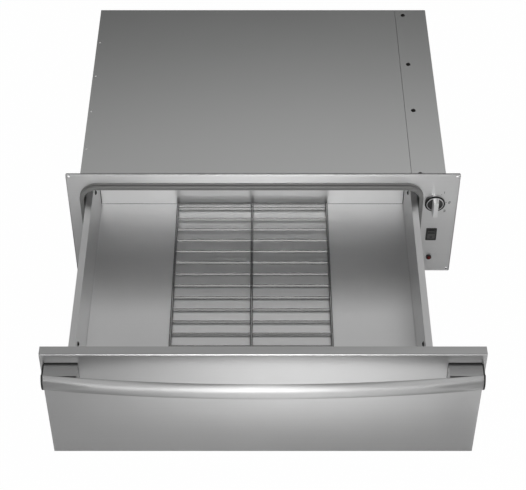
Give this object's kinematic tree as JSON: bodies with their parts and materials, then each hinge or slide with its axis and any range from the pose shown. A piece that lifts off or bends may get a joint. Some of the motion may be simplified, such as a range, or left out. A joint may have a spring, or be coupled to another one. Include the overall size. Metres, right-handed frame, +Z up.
{
  "type": "built-in warming drawer",
  "caption": "Built-in warming drawer, drawn out, with a bowed handle, wire rack, sealed cavity mouth and a side column of controls.",
  "frame": {"origin": "centre of the four cabinet screws, on the back face of the front flange", "axes": "+X to the right seen from the front, +Y into the cabinet, +Z up; the drawer comes out along -Y"},
  "size_m": [0.756, 1.049, 0.271],
  "materials": {
    "brushed_stainless": "brushed along X",
    "handle_stainless": "fine brushed, rounded",
    "drawer_stainless": "satin rolled",
    "inner_steel": "satin rolled",
    "galvanised_case": "dull galvanised",
    "galvanised_bracket": "galvanised",
    "reflector_aluminium": "bright rolled",
    "element_sheath": "oxidised sheath",
    "ceramic": "steatite ceramic",
    "insulation_wool": "glass wool",
    "seal_rubber": "dark grey silicone",
    "dark_screws": "blackened",
    "bright_rivets": "bright",
    "zinc_slides": "bright zinc",
    "brass_cages": "yellow passivated",
    "thermostat_moulding": "phenolic moulding",
    "rotor_nylon": "natural nylon",
    "shaft_steel": "turned",
    "knob_ring_black": "gloss black",
    "knob_chrome": "satin chrome",
    "knob_dial_dark": "dark grey",
    "bulb_copper": "copper",
    "cutout_steel": "plain",
    "switch_plastic": "dark grey nylon",
    "lamp_plastic": "black nylon",
    "lamp_red": "clear dark red",
    "wire_insulation": "silicone sleeve",
    "end_cap_black": "black nylon",
    "rack_steel": "polished stainless wire"
  },
  "bodies": {
    "case": {"front_flange": "brushed_stainless", "cavity_seal": "seal_rubber", "cavity_liner": "inner_steel", "liner_back": "inner_steel", "heat_reflector": "reflector_aluminium", "heating_element": "element_sheath", "element_clips": "galvanised_bracket", "element_bushings": "ceramic", "insulation": "insulation_wool", "case_top": "galvanised_case", "case_left_side": "galvanised_case", "case_bottom": "galvanised_case", "case_back": "galvanised_case", "bay_divider": "galvanised_bracket", "control_cover": "galvanised_case", "case_screws": "dark_screws", "top_rivets": "bright_rivets", "thermostat_body": "thermostat_moulding", "thermostat_back": "thermostat_moulding", "thermostat_nut": "bright_rivets", "knob_bezel": "knob_ring_black", "sensor_bulb": "bulb_copper", "bulb_clips": "galvanised_bracket", "safety_cutout": "cutout_steel", "switch_housing": "switch_plastic", "lamp_housing": "lamp_plastic", "lamp_lens": "lamp_red", "terminal_block": "ceramic", "wire_harness": "wire_insulation", "cord_bushing": "lamp_plastic", "left_slide_outer": "zinc_slides", "right_slide_outer": "zinc_slides", "slide_brackets": "galvanised_bracket", "slide_rivets": "dark_screws"},
    "drawer": {"drawer_floor": "drawer_stainless", "drawer_left_side": "drawer_stainless", "drawer_right_side": "drawer_stainless", "drawer_rear": "drawer_stainless", "drawer_side_screws": "dark_screws", "front_skin": "brushed_stainless", "front_inner_panel": "inner_steel", "front_insulation": "insulation_wool", "front_screws": "dark_screws", "handle_bar": "handle_stainless", "handle_posts": "brushed_stainless", "handle_end_caps": "end_cap_black", "handle_screws": "dark_screws", "left_slide_inner": "zinc_slides", "right_slide_inner": "zinc_slides"},
    "left_middle": {"left_slide_middle": "zinc_slides"},
    "right_middle": {"right_slide_middle": "zinc_slides"},
    "outer_cages": {"outer_ball_cages": "brass_cages"},
    "inner_cages": {"inner_ball_cages": "brass_cages"},
    "rotor": {"thermostat_rotor": "rotor_nylon"},
    "knob": {"thermostat_shaft": "shaft_steel", "knob_skirt": "knob_chrome", "knob_dial": "knob_dial_dark", "knob_grip": "knob_chrome"},
    "rocker": {"switch_rocker": "switch_plastic"},
    "rack": {"rack": "rack_steel"}
  },
  "joints": [
    {"name": "drawer_slide", "type": "slide", "parent": "case", "child": "drawer", "axis": [0, 1, 0], "range_m": [0, 0.421]},
    {"name": "left_middle_slide", "type": "slide", "parent": "case", "child": "left_middle", "axis": [0, 1, 0], "range_m": [0, 0.2105]},
    {"name": "right_middle_slide", "type": "slide", "parent": "case", "child": "right_middle", "axis": [0, 1, 0], "range_m": [0, 0.2105]},
    {"name": "outer_cage_slide", "type": "slide", "parent": "case", "child": "outer_cages", "axis": [0, 1, 0], "range_m": [0, 0.10525]},
    {"name": "inner_cage_slide", "type": "slide", "parent": "case", "child": "inner_cages", "axis": [0, 1, 0], "range_m": [0, 0.31575]},
    {"name": "knob_turn", "type": "hinge", "parent": "case", "child": "rotor", "pos_m": [0.332, 0, 0.06], "axis": [0, 1, 0], "range_deg": [0, 270]},
    {"name": "knob_push", "type": "slide", "parent": "rotor", "child": "knob", "axis": [0, 1, 0], "range_m": [0, 0.0025], "stiffness_N_per_m": 800},
    {"name": "rocker_tilt", "type": "hinge", "parent": "case", "child": "rocker", "pos_m": [0.332, 0.003, -0.028], "axis": [1, 0, 0], "range_deg": [-16, 0]},
    {"name": "rack_lift", "type": "slide", "parent": "drawer", "child": "rack", "axis": [0, 0, 1], "range_m": [0, 0.12]}
  ],
  "couplings": [
    {"joint": "left_middle_slide", "follows": "drawer_slide", "ratio": 0.5},
    {"joint": "right_middle_slide", "follows": "drawer_slide", "ratio": 0.5},
    {"joint": "outer_cage_slide", "follows": "drawer_slide", "ratio": 0.25},
    {"joint": "inner_cage_slide", "follows": "drawer_slide", "ratio": 0.75}
  ]
}
